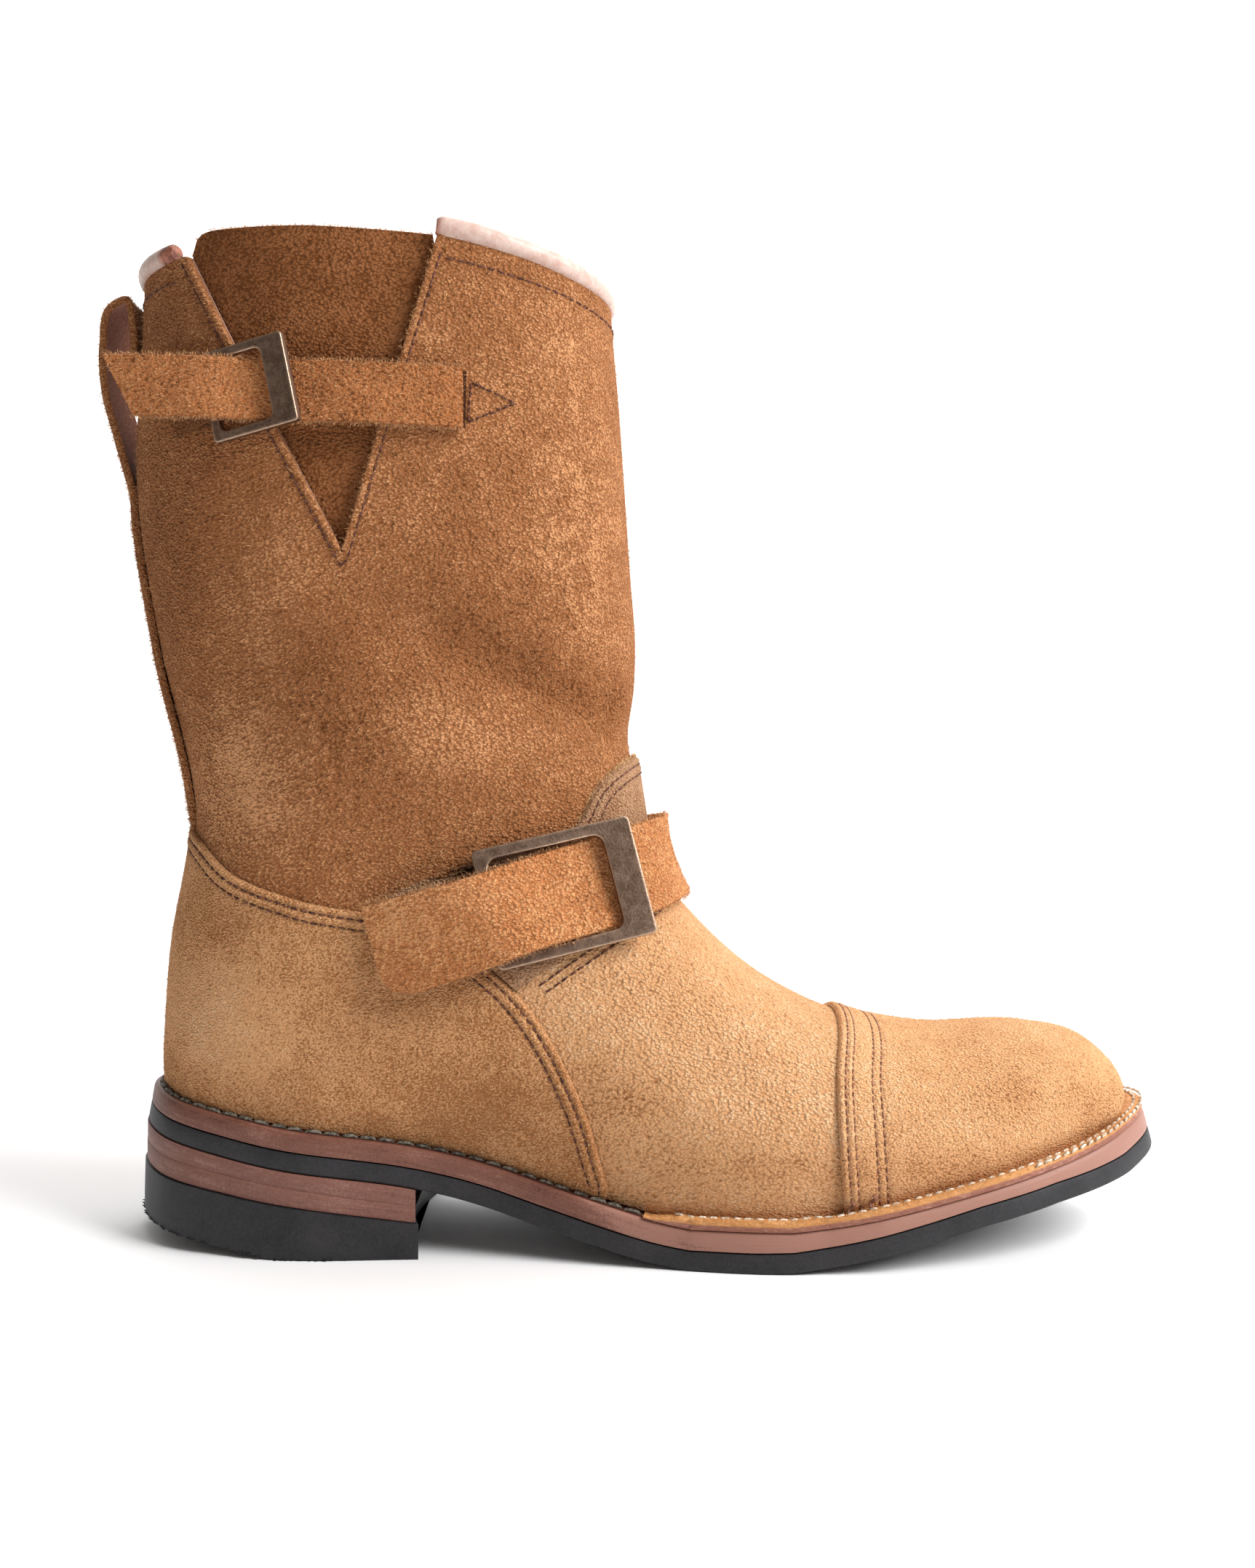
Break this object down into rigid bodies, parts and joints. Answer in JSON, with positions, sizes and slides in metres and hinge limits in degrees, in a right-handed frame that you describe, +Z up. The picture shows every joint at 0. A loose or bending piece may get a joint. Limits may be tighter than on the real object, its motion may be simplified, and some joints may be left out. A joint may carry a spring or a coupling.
{
  "type": "engineer boot",
  "caption": "Pull-on engineer boot in roughout leather: toe cap, strapped instep, buckled gusset at the collar, pull loop, welted leather sole and stacked heel.",
  "frame": {"origin": "on the floor, under the middle of the boot's bounding box", "axes": "+X to the toe, +Y to the inner (medial) side, +Z up"},
  "size_m": [0.3192, 0.102, 0.2933],
  "materials": {
    "rubber": "matt black sole rubber",
    "sole_leather": "dense reddish brown sole leather, cut edge",
    "insole_leather": "plain vegetable tanned leather",
    "welt_leather": "tan welt leather",
    "shaft_suede": "roughout, flesh side out, orange brown nap",
    "foot_suede": "roughout, flesh side out, golden tan nap",
    "piping_leather": "smooth pale pink leather, rolled",
    "antique_brass": "antique brass, worn bright at the edges"
  },
  "bodies": {
    "root": {"outsole": "rubber", "midsole": "sole_leather", "insole": "insole_leather", "welt": "welt_leather", "heel_lift_upper": "sole_leather", "heel_lift_lower": "sole_leather", "top_lift": "rubber", "upper": "shaft_suede", "quarter": "foot_suede", "tongue": "foot_suede", "toe_cap": "foot_suede", "gusset": "shaft_suede", "collar_piping": "piping_leather", "pull_loop": "shaft_suede", "instep_strap": "shaft_suede", "shaft_strap": "shaft_suede", "instep_buckle": "antique_brass", "instep_chape": "shaft_suede", "shaft_buckle": "antique_brass", "shaft_chape": "shaft_suede"}
  },
  "joints": []
}
